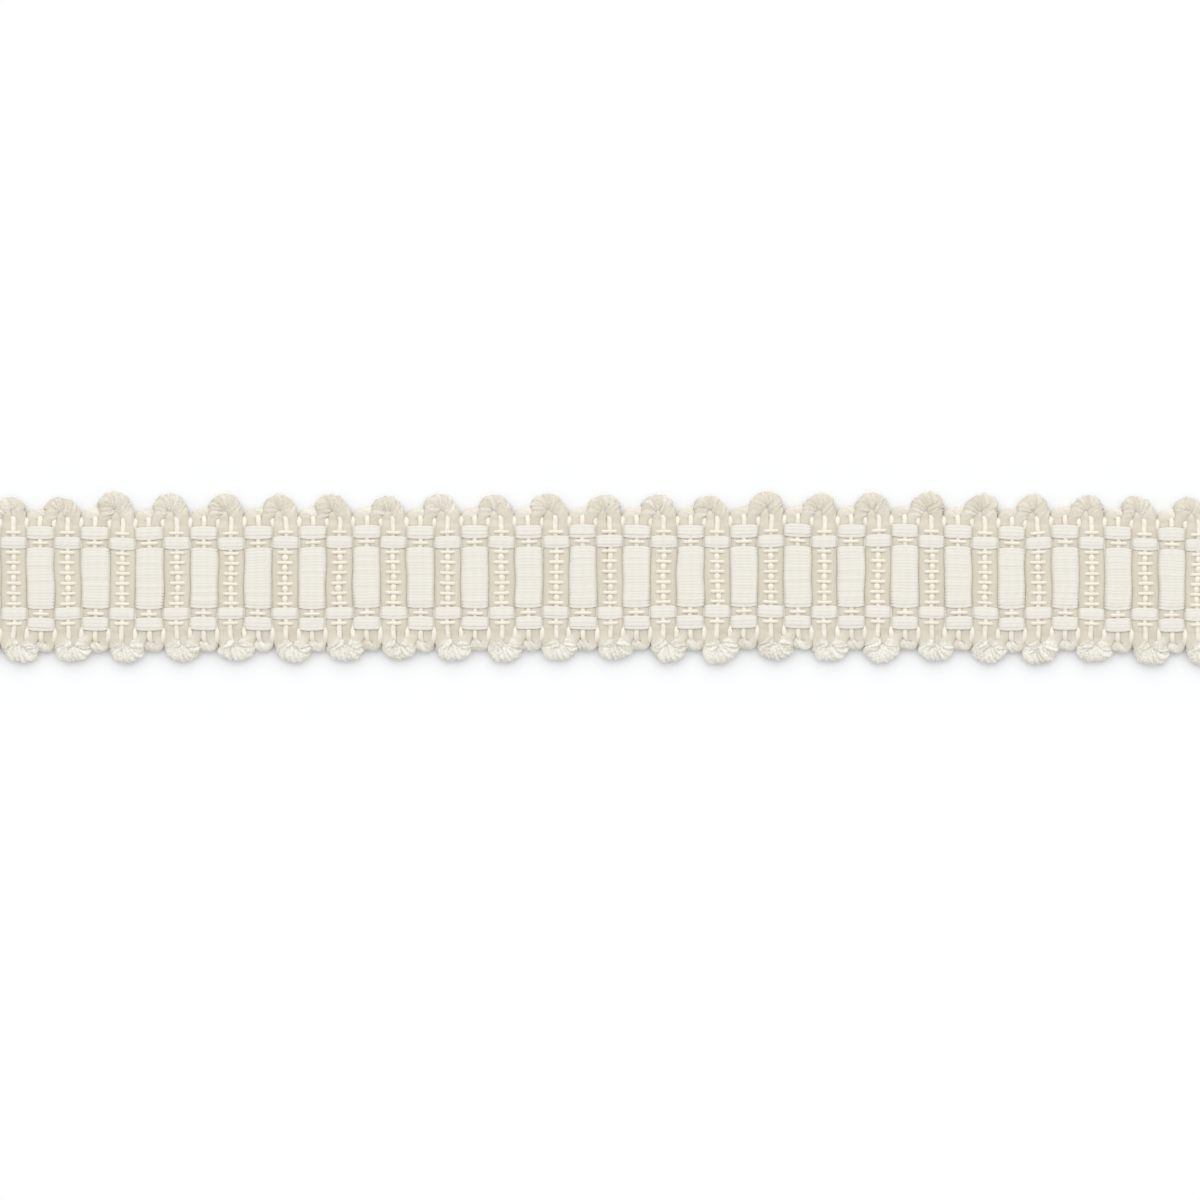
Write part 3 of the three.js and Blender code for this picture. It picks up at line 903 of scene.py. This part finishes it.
class Board:
    """A material's nodes, with short calls to add and join them."""

    def __init__(self, name):
        self.material = bpy.data.materials.new(name)
        self.material.use_nodes = True
        self.nodes = self.material.node_tree.nodes
        self.links = self.material.node_tree.links
        self.nodes.clear()
        self.shader = self.nodes.new("ShaderNodeBsdfPrincipled")
        out = self.nodes.new("ShaderNodeOutputMaterial")
        self.links.new(self.shader.outputs[0], out.inputs[0])

    def feed(self, socket, value):
        """Joins another node's output to a socket, or sets the socket to a number or a colour."""
        if isinstance(value, bpy.types.NodeSocket):
            self.links.new(value, socket)
        else:
            socket.default_value = value

    def set(self, **values):
        """Feeds the shader's sockets of these names, with a space for each underscore."""
        for key, value in values.items():
            self.feed(self.shader.inputs[key.replace("_", " ")], value)

    def maths(self, kind, a, b=0.0, c=0.0):
        """One step of arithmetic."""
        node = self.nodes.new("ShaderNodeMath")
        node.operation = kind
        for socket, value in zip(node.inputs, (a, b, c)):
            self.feed(socket, value)
        return node.outputs[0]

    def total(self, start, *parts):
        """The start, plus each part's value times its weight."""
        for value, weight in parts:
            start = self.maths("MULTIPLY_ADD", value, weight, start)
        return start

    def wave(self, kind, turns):
        """The sine or cosine of a number of turns."""
        return self.maths(kind, self.maths("MULTIPLY", turns, 2 * math.pi))

    def clamp(self, value):
        """The value, held between 0 and 1."""
        node = self.nodes.new("ShaderNodeClamp")
        self.feed(node.inputs["Value"], value)
        return node.outputs[0]

    def mix(self, share, a, b):
        """The colour that lies the share of the way from a to b."""
        node = self.nodes.new("ShaderNodeMix")
        node.data_type = "RGBA"
        self.feed(node.inputs["Factor"], self.clamp(share))
        self.feed(node.inputs["A"], (*a, 1.0))
        self.feed(node.inputs["B"], (*b, 1.0))
        return node.outputs["Result"]

    def yarn_map(self):
        """The run along the yarn, in turns of its twist, and the share of the way round it."""
        node = self.nodes.new("ShaderNodeUVMap")
        node.uv_map = YARN_MAP
        split = self.nodes.new("ShaderNodeSeparateXYZ")
        self.links.new(node.outputs[0], split.inputs[0])
        return split.outputs[0], split.outputs[1]

    def stored(self, name):
        """One of the numbers that the mesh holds at each point."""
        node = self.nodes.new("ShaderNodeAttribute")
        node.attribute_name = name
        return node.outputs["Fac"]

    def noise(self, place, scale, detail):
        """A soft random pattern over a place, from 0 to 1."""
        node = self.nodes.new("ShaderNodeTexNoise")
        node.inputs["Scale"].default_value = scale
        node.inputs["Detail"].default_value = detail
        self.links.new(place, node.inputs["Vector"])
        return node.outputs["Fac"]

    def specks(self, size):
        """Random specks of a size in metres, in the object's own coordinates."""
        place = self.nodes.new("ShaderNodeTexCoord")
        return self.noise(place.outputs["Object"], 1 / size, SPECK_DETAIL)

    def bump(self, height, distance):
        """A fine relief of the given height in metres."""
        node = self.nodes.new("ShaderNodeBump")
        node.inputs["Strength"].default_value = 1.0
        node.inputs["Distance"].default_value = distance
        self.links.new(height, node.inputs["Height"])
        self.links.new(node.outputs[0], self.shader.inputs["Normal"])

    def gloss(self, level):
        """How much light the surface mirrors."""
        self.shader.inputs["Specular IOR Level"].default_value = level

    def glow(self, weight, depth):
        """Lets a share of the light into the yarn, to a depth."""
        self.shader.inputs["Subsurface Weight"].default_value = weight
        self.shader.inputs["Subsurface Radius"].default_value = DEPTH_BY_COLOUR
        self.shader.inputs["Subsurface Scale"].default_value = depth

    def finish(self, kind, fibre, ridge, *more_relief):
        """Gives the yarn its finish, from its fibres' pattern and its plies'."""
        if kind.fibre_roughness:
            self.set(Roughness=self.total(kind.roughness, (fibre, kind.fibre_roughness)))
        else:
            self.set(Roughness=kind.roughness)
        self.gloss(kind.gloss)
        if kind.glow:
            self.glow(kind.glow, RAYON_DEPTH)
        relief = self.maths("MULTIPLY", ridge, kind.plies)
        self.bump(self.total(relief, (fibre, kind.fibres), *more_relief), kind.relief)


def darker(colour, share):
    """A colour with each of its numbers times the share."""
    return tuple(share * part for part in colour)


# Noise details, and how far the fibres' pattern changes round the yarn, which hides its seam
FIBRE_DETAIL = 3.0
SPECK_DETAIL = 1.0
SEAM_TURN = 1.5


def ply_slant(board, plies, twist):
    """The place across the plies, in plies: the share of the way round times their number, plus the run in
    turns times the twist."""
    run, share = board.yarn_map()
    around = board.maths("MULTIPLY", share, float(plies))
    return board.total(around, (run, twist))


def ply_ridges(board, slant):
    """The plies' relief, from 0 to 1: half of 1 plus the sine of the slant as a number of turns."""
    return board.total(0.5, (board.wave("SINE", slant), 0.5))


def drawn_fibres(board, slant, fibres, stretch):
    """Fibres drawn out along the plies, from 0 to 1: a noise whose place is the slant times the number of
    fibres on a ply, the run in turns times the stretch, and the sine of the share of the way round."""
    run, share = board.yarn_map()
    join = board.nodes.new("ShaderNodeCombineXYZ")
    board.feed(join.inputs[0], board.maths("MULTIPLY", slant, fibres))
    board.feed(join.inputs[1], board.maths("MULTIPLY", run, stretch))
    board.feed(join.inputs[2], board.maths("MULTIPLY", board.wave("SINE", share), SEAM_TURN))
    return board.noise(join.outputs[0], 1.0, FIBRE_DETAIL)


def ply_pattern(board, plies, fibres, stretch):
    """The ridges and the fibres of a yarn whose plies turn once round it in a turn of its twist."""
    slant = ply_slant(board, plies, 1.0)
    return ply_ridges(board, slant), drawn_fibres(board, slant, fibres, stretch)


COTTON_SHEEN = 0.03
SHEEN_ROUGHNESS = 0.5

# How far cotton is mixed toward its darker colour: from the start, by its own tone, its fibres, and painted
# shade in the hollows of its plies
COTTON_SHADE_START = -0.05
COTTON_TONE = 0.08
COTTON_FIBRES = 0.5
COTTON_HOLLOW_SHADE = 0.2


def cotton_material(colours):
    """Matte two-ply cotton: ridges of the ply with painted shade in the hollows between them, soft fibres,
    and yarns a little lighter or darker than the next."""
    board = Board("matte_cotton")
    ridge, fibre = ply_pattern(board, plies=2, fibres=7.0, stretch=1.2)
    hollow = board.maths("SUBTRACT", 1.0, ridge)
    shade = board.total(
        COTTON_SHADE_START,
        (board.stored("tone"), COTTON_TONE),
        (fibre, COTTON_FIBRES),
        (hollow, COTTON_HOLLOW_SHADE),
    )
    board.set(Base_Color=board.mix(shade, colours.cotton, colours.cotton_dark_fibre_and_shade))
    board.set(Sheen_Weight=COTTON_SHEEN, Sheen_Roughness=SHEEN_ROUGHNESS)
    board.finish(COTTON_FINISH, fibre, ridge)
    return board.material


# How dark the painted shade in the hollows between pale fibres is, as a share of their colour, and how much
# of a yarn's own tone shows in it
FIBRE_HOLLOW_SHADE = 0.88
TONE_WEIGHT = 0.12


def shiny_material(colours):
    """Bright rayon filaments lying nearly straight, with their gloss broken by fine lines along the yarn, and
    painted shade in the hollows between the filaments.
    """
    board = Board("shiny_rayon")
    ridge, fibre = ply_pattern(board, plies=1, fibres=9.0, stretch=0.5)
    light = board.total(fibre, (board.stored("tone"), TONE_WEIGHT))
    board.set(Base_Color=board.mix(light, darker(colours.shiny, FIBRE_HOLLOW_SHADE), colours.shiny))
    board.finish(SHINY_FINISH, fibre, ridge)
    return board.material


# The specks of the opened cord, the light ones painted glints: their size, how sharply a noise is cut into
# light and dark, their relief, and their contrast, which grows with the cord's paleness, the painted
# highlight. The darkening keeps the cord's mean colour
SPECK_SIZE = 0.2 * MM
SPECK_SHARPNESS = 5.0
SPECK_CUT = -2.0
SPECK_RELIEF = 0.4
SPECK_GLINT_CONTRAST = 0.25
PALE_GLINT_CONTRAST = 0.4
SPECK_DARKENING = -0.42

# How strongly the cord's own tone shows as streaks in the weave, and how much more where it has opened
WOVEN_STREAKS = 0.05
OPEN_STREAKS = 0.14

# How pale the cord is: from the start, by the mesh's paleness, which is painted highlight, by its run along
# the trim, which is painted sheen, by its fibres, whose hollows get painted shade, and by painted shade in
# the hollows between its plies
CORD_PALE_START = -0.15
CORD_PALE_HIGHLIGHT = 0.65
CORD_HEADING_SHEEN = 0.22
CORD_FIBRES = 0.4
CORD_HOLLOW_SHADE = -0.14


def cord_material(colours):
    """Thick soft cord: beige and smooth in the weave, and speckled where it has opened, with painted glints
    in the specks. It is paler where its pale number is set, a painted highlight, and where it runs along the
    trim, a painted sheen, with painted shade in the hollows between its plies and between its fibres."""
    board = Board("thick_cord")
    fibre = drawn_fibres(board, ply_slant(board, CORD_PLIES, 0.0), fibres=8.0, stretch=0.8)
    ridge = ply_ridges(board, ply_slant(board, 2, 1.0))
    opened, pale, tone = board.stored("relaxed"), board.stored("pale"), board.stored("tone")
    _, share = board.yarn_map()
    between = board.wave("COSINE", board.maths("MULTIPLY", share, float(CORD_PLIES)))
    hollow = board.maths("MULTIPLY", board.total(0.5, (between, 0.5)), opened)
    # The light specks are painted glints; the same specks also give a little relief
    cut = board.total(SPECK_CUT, (board.specks(SPECK_SIZE), SPECK_SHARPNESS))
    glint_speck = board.maths("MULTIPLY", board.clamp(cut), opened)
    contrast = board.total(SPECK_GLINT_CONTRAST, (pale, PALE_GLINT_CONTRAST))
    light = board.total(
        CORD_PALE_START,
        (pale, CORD_PALE_HIGHLIGHT),
        (board.stored("heading"), CORD_HEADING_SHEEN),
        (fibre, CORD_FIBRES),
        (hollow, CORD_HOLLOW_SHADE),
        (glint_speck, contrast),
        (board.maths("MULTIPLY", opened, contrast), SPECK_DARKENING),
        (tone, board.total(WOVEN_STREAKS, (opened, OPEN_STREAKS))),
    )
    board.set(Base_Color=board.mix(light, colours.cord, colours.cord_open))
    board.finish(CORD_FINISH, fibre, ridge, (glint_speck, SPECK_RELIEF))
    return board.material


THIN_FIBRES = 0.8


def thin_material(colours):
    """Thin two-ply cord, pale and half glossy, with painted shade in the hollows between its fibres."""
    board = Board("thin_cord")
    ridge, fibre = ply_pattern(board, plies=2, fibres=8.0, stretch=1.0)
    light = board.total(0.0, (fibre, THIN_FIBRES), (board.stored("tone"), TONE_WEIGHT))
    board.set(Base_Color=board.mix(light, darker(colours.thin, FIBRE_HOLLOW_SHADE), colours.thin))
    board.finish(THIN_FINISH, fibre, ridge)
    return board.material


LOOSE_ROUGHNESS = 0.45
LOOSE_GLOSS = 0.5
LOOSE_LIGHT = 0.5
LOOSE_TONE = 0.3


def fibre_material(colours):
    """Single rayon fibres, pale and glossy, each a little lighter or darker than the next."""
    board = Board("loose_fibre")
    light = board.total(LOOSE_LIGHT, (board.stored("tone"), LOOSE_TONE))
    board.set(Base_Color=board.mix(light, colours.cord_open, colours.thin), Roughness=LOOSE_ROUGHNESS)
    board.gloss(LOOSE_GLOSS)
    return board.material


# The pieces, one operator each

# The seeds of the pieces' random draws, and the length of one turn of each warp's twist
WARP_SEED = 11
SHINY_SEED = 12
ONE_SEED = 13
TWO_SEED = 14
THIN_SEED = 15
SHINY_LAY = 1.6 * MM
COTTON_LAY = 0.85 * MM


class GIMP_OT_cotton_warps(bpy.types.Operator):
    """Lay the matte cotton warps: the panels and the blocks on both sides of them."""

    bl_idname = "gimp.cotton_warps"
    bl_label = "Matte cotton warps"

    def execute(self, context):
        sizes, colours = context.scene.gimp_sizes, context.scene.gimp_colours
        wide, tall = (sizes.cotton * half for half in COTTON_HALVES)
        kind = WarpKind(COTTON_SLOPE, COTTON_OVER, COTTON_UNDER, wide, tall, COTTON_LAY, EDGE_DROP)
        rng = np.random.default_rng(WARP_SEED)
        skins = [warp_skin(CENTRE_ENDS, CENTRE_ENDS * CENTRE_GATHER, False, PANEL_FLOAT, kind, rng)]
        for ends, over_rib, half_float in ((INNER_ENDS, True, RIB_FLOAT), (OUTER_ENDS, False, PANEL_FLOAT)):
            gathered = ends.mean() + (ends - ends.mean()) * SIDE_GATHER
            skins.append(warp_skin(ends, gathered, over_rib, half_float, kind, rng))
            skins.append(warp_skin(-ends, -gathered, over_rib, half_float, kind, rng))
        make_piece("cotton_warps", joined(skins), cotton_material(colours), [BAND])
        return {"FINISHED"}


class GIMP_OT_shiny_warps(bpy.types.Operator):
    """Lay the shiny warps, which show as short dashes over the ribs and in the recesses."""

    bl_idname = "gimp.shiny_warps"
    bl_label = "Shiny warps"

    def execute(self, context):
        sizes, colours = context.scene.gimp_sizes, context.scene.gimp_colours
        wide, tall = (sizes.shiny * half for half in SHINY_HALVES)
        kind = WarpKind(SHINY_SLOPE, SHINY_OVER, SHINY_UNDER, wide, tall, SHINY_LAY, NO_DROP)
        rng = np.random.default_rng(SHINY_SEED)
        over_ribs = np.concatenate([OUTER_SHINY[:1], CENTRE_SHINY, OUTER_SHINY[1:]])
        skins = [
            warp_skin(over_ribs, over_ribs, True, SHINY_RIB_FLOAT, kind, rng),
            warp_skin(RECESS_SHINY, RECESS_SHINY, False, SHINY_PANEL_FLOAT, kind, rng),
        ]
        make_piece("shiny_warps", joined(skins), shiny_material(colours), [BAND])
        return {"FINISHED"}


class GIMP_OT_thick_wefts(bpy.types.Operator):
    """Lay the two thick wefts with their large loops and small turns."""

    bl_idname = "gimp.thick_wefts"
    bl_label = "Thick wefts"

    def execute(self, context):
        sizes, colours = context.scene.gimp_sizes, context.scene.gimp_colours
        material = cord_material(colours)
        nodes = [BAND, FAR_EDGE, NEAR_EDGE]
        one = repeated_stops(THICK_WEFT_ONE, FAR_LOOPS, TURN_STOPS_ONE)
        two = repeated_stops(THICK_WEFT_TWO, NEAR_LOOPS, TURN_STOPS_TWO)
        skin = cord_skin(one, sizes.cord, np.random.default_rng(ONE_SEED))
        make_piece("thick_weft_one", skin, material, nodes)
        skin = cord_skin(two, sizes.cord, np.random.default_rng(TWO_SEED))
        make_piece("thick_weft_two", skin, material, nodes)
        return {"FINISHED"}


class GIMP_OT_thin_weft(bpy.types.Operator):
    """Lay the thin weft, whose beads show on the ribs and whose strips show beside the blocks."""

    bl_idname = "gimp.thin_weft"
    bl_label = "Thin weft"

    def execute(self, context):
        sizes, colours = context.scene.gimp_sizes, context.scene.gimp_colours
        stops = repeated_stops(THIN_WEFT, EVEN_LOOPS, TURN_STOPS_THIN)
        skin = thin_skin(stops, sizes.thin, np.random.default_rng(THIN_SEED))
        make_piece("thin_weft", skin, thin_material(colours), [BAND])
        return {"FINISHED"}


# The middles of the large loops, from the mid-line and from their ribs, and the oval of their rims
FIBRE_SEED = 16
LOOP_MIDDLE = 6.75 * MM
FAR_OFFSET = -0.45 * MM
NEAR_OFFSET = 0.52 * MM
LOOP_HEIGHT = 0.6 * MM
LOOP_REACH = 0.9 * MM
LOOP_WIDTH = 1.25 * MM


def loop_middles(loops, across, offset):
    """The middles of one edge's large loops, each with its own reach and lean."""
    reach, lean = loops.T
    along = RIBS + (lean * MM + offset) / REPEAT
    shift = (reach - MEAN_REACH) * MM * np.sign(across)
    return lay(along, across + shift, LOOP_HEIGHT)


class GIMP_OT_loose_fibres(bpy.types.Operator):
    """Lay fine loose fibres round the rims of the large loops."""

    bl_idname = "gimp.loose_fibres"
    bl_label = "Loose fibres"

    def execute(self, context):
        far = loop_middles(FAR_LOOPS, LOOP_MIDDLE, FAR_OFFSET)
        near = loop_middles(NEAR_LOOPS, -LOOP_MIDDLE, NEAR_OFFSET)
        rng = np.random.default_rng(FIBRE_SEED)
        skin = fibre_skin(np.concatenate([far, near]), LOOP_REACH, LOOP_WIDTH, rng)
        material = fibre_material(context.scene.gimp_colours)
        make_piece("loose_fibres", skin, material, [FAR_EDGE, NEAR_EDGE])
        return {"FINISHED"}


# The studio
FLOOR_HALF = 1.5
SUN_HEIGHT = math.radians(50)
SUN_SPREAD = math.radians(74)
SUN_STRENGTH = 1.5
WORLD_STRENGTH = 0.73


class GIMP_OT_studio(bpy.types.Operator):
    """Set the camera over the trim, the pale floor, and soft light from beyond the far edge."""

    bl_idname = "gimp.studio"
    bl_label = "Studio"

    def execute(self, context):
        scene = context.scene
        camera = bpy.data.objects.new("camera", bpy.data.cameras.new("camera"))
        scene.collection.objects.link(camera)
        camera.data.lens = LENS_MM
        camera.data.sensor_width = SENSOR_MM
        distance = VIEW_WIDTH * LENS_MM / SENSOR_MM
        camera.location = (*VIEW_MIDDLE, MID_HEIGHT + distance)
        camera.data.clip_start = NEAR_CLIP
        camera.data.clip_end = FAR_CLIP
        scene.camera = camera

        mesh = bpy.data.meshes.new("floor")
        edge = FLOOR_HALF
        corners = [(-edge, -edge, 0), (edge, -edge, 0), (edge, edge, 0), (-edge, edge, 0)]
        mesh.from_pydata(corners, [], [(0, 1, 2, 3)])
        board = Board("floor")
        board.set(Base_Color=(*scene.gimp_colours.floor, 1.0), Roughness=1.0)
        board.gloss(0.0)
        mesh.materials.append(board.material)
        floor = bpy.data.objects.new("floor", mesh)
        scene.collection.objects.link(floor)

        lamp = bpy.data.lights.new("window", "SUN")
        lamp.energy = SUN_STRENGTH
        lamp.angle = SUN_SPREAD
        sun = bpy.data.objects.new("window", lamp)
        sun.rotation_euler = (SUN_HEIGHT - math.pi / 2, 0, 0)
        scene.collection.objects.link(sun)

        world = bpy.data.worlds.new("studio")
        world.use_nodes = True
        back = world.node_tree.nodes["Background"]
        back.inputs["Color"].default_value = (1.0, 1.0, 1.0, 1.0)
        back.inputs["Strength"].default_value = WORLD_STRENGTH
        scene.world = world
        scene.view_settings.view_transform = "Standard"
        return {"FINISHED"}


class GIMP_PT_panel(bpy.types.Panel):
    """The trim's steps, in order, with its sizes and colours."""

    bl_idname = "GIMP_PT_panel"
    bl_label = "Gimp trim"
    bl_space_type = "VIEW_3D"
    bl_region_type = "UI"
    bl_category = "Gimp trim"

    def draw(self, context):
        column = self.layout.column()
        for step in STEPS:
            column.operator(step.bl_idname)
        for group in (context.scene.gimp_sizes, context.scene.gimp_colours):
            for key in group.__annotations__:
                column.prop(group, key)


STEPS = [
    GIMP_OT_studio,
    GIMP_OT_cotton_warps,
    GIMP_OT_shiny_warps,
    GIMP_OT_thick_wefts,
    GIMP_OT_thin_weft,
    GIMP_OT_loose_fibres,
]
CLASSES = [GimpSizes, GimpColours, *STEPS, GIMP_PT_panel]


def register():
    """Adds the settings, the operators and the panel."""
    for item in CLASSES:
        bpy.utils.register_class(item)
    bpy.types.Scene.gimp_sizes = bpy.props.PointerProperty(type=GimpSizes)
    bpy.types.Scene.gimp_colours = bpy.props.PointerProperty(type=GimpColours)


def unregister():
    """Takes away what register adds."""
    del bpy.types.Scene.gimp_colours
    del bpy.types.Scene.gimp_sizes
    for item in reversed(CLASSES):
        bpy.utils.unregister_class(item)


def main():
    register()
    bpy.ops.gimp.studio()
    bpy.ops.gimp.cotton_warps()
    bpy.ops.gimp.shiny_warps()
    bpy.ops.gimp.thick_wefts()
    bpy.ops.gimp.thin_weft()
    bpy.ops.gimp.loose_fibres()


if __name__ == "__main__":
    main()
